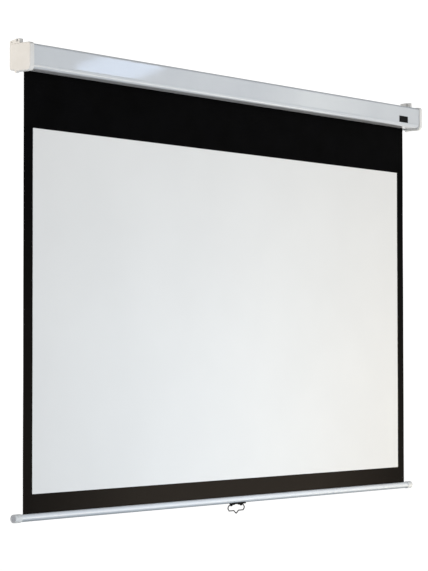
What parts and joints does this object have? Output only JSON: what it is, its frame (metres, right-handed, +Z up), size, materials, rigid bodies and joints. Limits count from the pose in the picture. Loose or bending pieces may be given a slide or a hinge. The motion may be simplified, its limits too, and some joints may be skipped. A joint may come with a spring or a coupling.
{
  "type": "pull down projector screen",
  "caption": "Pull down projection screen with a spring roller in a long white housing, black bordered cloth, round bottom bar and wire pull.",
  "frame": {"origin": "middle of the housing's back face, on the wall", "axes": "+X along the housing, +Y into the wall, +Z up"},
  "size_m": [2.014, 0.083, 1.4111],
  "materials": {
    "case": "semi-gloss powder coat",
    "cap": "fine matt moulding",
    "bar": "semi-gloss powder coat",
    "knob": "smooth moulding",
    "steel": "zinc plated",
    "spring": "oiled spring steel",
    "bush": "plain moulding",
    "black": "black coated cloth",
    "picture": "matt white coating",
    "bracket": "black paint"
  },
  "bodies": {
    "housing": {"housing_case": "case", "end_cap_left": "cap", "end_cap_right": "cap", "cap_screw_left_front": "steel", "cap_screw_left_rear": "steel", "cap_screw_right_front": "steel", "cap_screw_right_rear": "steel", "roller_bracket_left": "steel", "roller_bracket_right": "steel", "idle_bush": "bush", "spindle": "steel", "spindle_retaining_ring": "spring", "ratchet_wheel": "steel", "torsion_spring": "spring", "spring_anchor": "bush", "bracket_screw_left_upper": "steel", "bracket_screw_left_lower": "steel", "bracket_screw_right_upper": "steel", "bracket_screw_right_lower": "steel", "screen_cloth": "black", "picture_surface": "picture"},
    "roller": {"roller_tube": "steel", "spring_end_plug": "bush", "idle_end_plug": "bush", "idle_pin": "steel", "cloth_wraps": "black", "cloth_strip": "bush", "pawl_pin_1": "steel", "pawl_pin_2": "steel"},
    "pawl_one": {"pawl_1": "steel"},
    "pawl_two": {"pawl_2": "steel"},
    "bottom_bar": {"bar_tube": "bar", "hem_rod": "steel", "bar_knob_left": "knob", "bar_knob_right": "knob", "pull_saddle": "bracket", "saddle_screw_left": "bracket", "saddle_screw_right": "bracket"},
    "pull": {"wire_pull": "steel"}
  },
  "joints": [
    {"name": "bar_slide", "type": "slide", "parent": "housing", "child": "bottom_bar", "axis": [0, 0, 1], "range_m": [0, 1.2478], "deforming": ["screen_cloth", "picture_surface"]},
    {"name": "roller_turn", "type": "hinge", "parent": "housing", "child": "roller", "pos_m": [0, -0.04186, 0], "axis": [1, 0, 0], "range_deg": [0, 3601]},
    {"name": "pawl_one_drop", "type": "hinge", "parent": "roller", "child": "pawl_one", "pos_m": [0.981, -0.03125, 0.01061], "axis": [1, 0, 0], "range_deg": [0, 15]},
    {"name": "pawl_two_drop", "type": "hinge", "parent": "roller", "child": "pawl_two", "pos_m": [0.981, -0.05247, -0.01061], "axis": [1, 0, 0], "range_deg": [0, 15]},
    {"name": "pull_swing", "type": "hinge", "parent": "bottom_bar", "child": "pull", "pos_m": [0.005, -0.022, -1.32425], "axis": [1, 0, 0], "range_deg": [-90, 90]}
  ],
  "couplings": [
    {"joint": "roller_turn", "follows": "bar_slide", "rad_per_m": 50.352}
  ]
}
